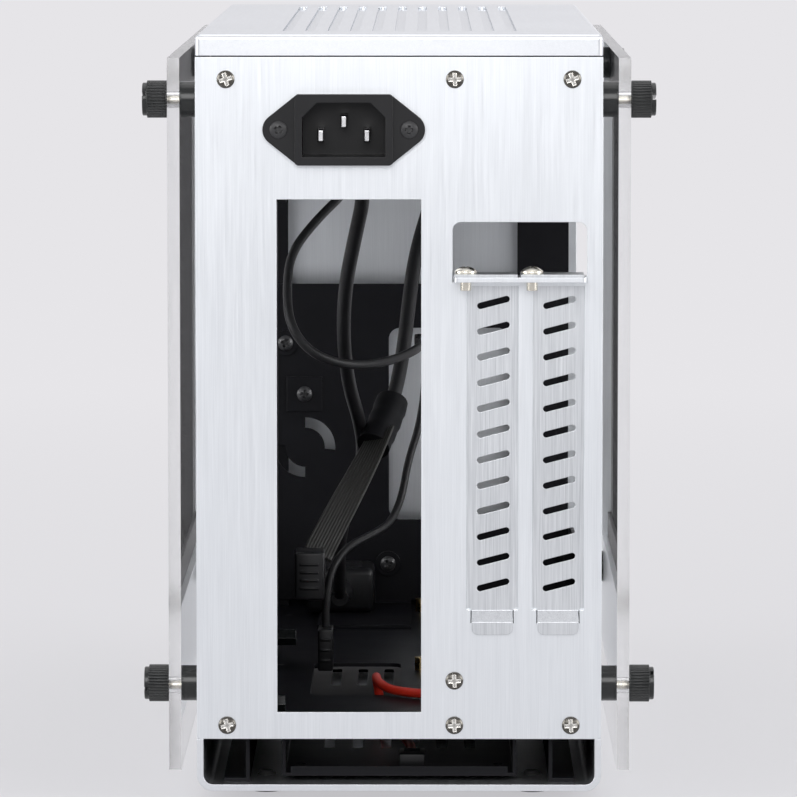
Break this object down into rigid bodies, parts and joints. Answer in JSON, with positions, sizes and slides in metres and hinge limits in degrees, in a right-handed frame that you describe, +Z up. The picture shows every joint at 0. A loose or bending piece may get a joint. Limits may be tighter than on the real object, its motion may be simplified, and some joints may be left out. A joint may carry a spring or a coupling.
{
  "type": "small form factor computer case",
  "caption": "Upright mini computer case of brushed aluminium on a black steel chassis, with clear side sheets on thumb screws, a mains inlet, card slots and inner leads.",
  "frame": {"origin": "centre of the bounding box on the surface that the feet stand on", "axes": "+Z up, +X right as seen from behind, the rear panel faces -Y"},
  "size_m": [0.1582, 0.3384, 0.237],
  "materials": {
    "brushed_aluminium": "vertically brushed, clear anodised",
    "cover_aluminium": "brushed sheet",
    "black_steel": "black powder coat",
    "clear_sheet": "clear polished",
    "black_metal": "black anodised, satin",
    "nickel": "bright nickel plate",
    "black_screw": "black oxide",
    "inlet_plastic": "moulded black",
    "blade_metal": "bright tin plate",
    "brass": "bright brass",
    "rubber": "matte",
    "board": "solder mask",
    "port_metal": "tin plate",
    "lead_black": "black jacket",
    "plug_black": "moulded black",
    "lead_red": "red jacket",
    "plug_red": "moulded red"
  },
  "bodies": {
    "case": {"rear_panel": "brushed_aluminium", "front_panel": "brushed_aluminium", "top_cover": "brushed_aluminium", "bottom_shell": "brushed_aluminium", "slot_cover_left": "cover_aluminium", "slot_cover_right": "cover_aluminium", "floor_pan": "black_steel", "top_frame": "black_steel", "motherboard_tray": "black_steel", "rear_left_post": "black_steel", "rear_right_post": "black_steel", "front_left_post": "black_steel", "front_right_post": "black_steel", "psu_bracket": "black_steel", "drive_tray": "black_steel", "base_rail_left": "black_steel", "base_rail_right": "black_steel", "side_glass_left": "clear_sheet", "side_glass_right": "clear_sheet", "glass_standoffs": "black_metal", "standoff_nuts": "black_metal", "motherboard_standoffs": "black_metal", "rear_panel_screws": "nickel", "front_panel_screws": "nickel", "slot_cover_screws": "nickel", "inlet_screws": "black_screw", "chassis_screws": "black_screw", "inlet_housing": "inlet_plastic", "power_switch_body": "inlet_plastic", "audio_jacks": "inlet_plastic", "inlet_pins": "blade_metal", "riser_standoffs": "brass", "board_spacers": "brass", "rubber_feet": "rubber", "front_io_board": "board", "usb_ports": "port_metal", "mains_lead": "lead_black", "front_port_lead": "lead_black", "switch_lead": "lead_black", "audio_lead": "lead_black", "mains_plug": "plug_black", "header_plug": "plug_black", "switch_plug": "plug_black", "audio_plug": "plug_black", "red_lead": "lead_red", "red_plug_floor": "plug_red", "red_plug_bay": "plug_red"},
    "power_button": {"power_button": "brushed_aluminium"},
    "thumb_screw_left_rear_bottom": {"thumb_screw_left_rear_bottom": "black_metal"},
    "thumb_screw_left_rear_top": {"thumb_screw_left_rear_top": "black_metal"},
    "thumb_screw_left_front_bottom": {"thumb_screw_left_front_bottom": "black_metal"},
    "thumb_screw_left_front_top": {"thumb_screw_left_front_top": "black_metal"},
    "thumb_screw_right_rear_bottom": {"thumb_screw_right_rear_bottom": "black_metal"},
    "thumb_screw_right_rear_top": {"thumb_screw_right_rear_top": "black_metal"},
    "thumb_screw_right_front_bottom": {"thumb_screw_right_front_bottom": "black_metal"},
    "thumb_screw_right_front_top": {"thumb_screw_right_front_top": "black_metal"}
  },
  "joints": [
    {"name": "turn_left_rear_bottom", "type": "hinge", "parent": "case", "child": "thumb_screw_left_rear_bottom", "pos_m": [-0.0711, -0.14575, 0.0351], "axis": [-1, 0, 0], "continuous": true},
    {"name": "turn_left_rear_top", "type": "hinge", "parent": "case", "child": "thumb_screw_left_rear_top", "pos_m": [-0.0711, -0.14575, 0.2166], "axis": [-1, 0, 0], "continuous": true},
    {"name": "turn_left_front_bottom", "type": "hinge", "parent": "case", "child": "thumb_screw_left_front_bottom", "pos_m": [-0.0711, 0.15525, 0.0351], "axis": [-1, 0, 0], "continuous": true},
    {"name": "turn_left_front_top", "type": "hinge", "parent": "case", "child": "thumb_screw_left_front_top", "pos_m": [-0.0711, 0.15525, 0.2166], "axis": [-1, 0, 0], "continuous": true},
    {"name": "turn_right_rear_bottom", "type": "hinge", "parent": "case", "child": "thumb_screw_right_rear_bottom", "pos_m": [0.0711, -0.14575, 0.0351], "axis": [1, 0, 0], "continuous": true},
    {"name": "turn_right_rear_top", "type": "hinge", "parent": "case", "child": "thumb_screw_right_rear_top", "pos_m": [0.0711, -0.14575, 0.2166], "axis": [1, 0, 0], "continuous": true},
    {"name": "turn_right_front_bottom", "type": "hinge", "parent": "case", "child": "thumb_screw_right_front_bottom", "pos_m": [0.0711, 0.15525, 0.0351], "axis": [1, 0, 0], "continuous": true},
    {"name": "turn_right_front_top", "type": "hinge", "parent": "case", "child": "thumb_screw_right_front_top", "pos_m": [0.0711, 0.15525, 0.2166], "axis": [1, 0, 0], "continuous": true},
    {"name": "power_press", "type": "slide", "parent": "case", "child": "power_button", "axis": [0, -1, 0], "range_m": [0, 0.0015], "stiffness_N_per_m": 400, "springref_m": -0.001}
  ]
}
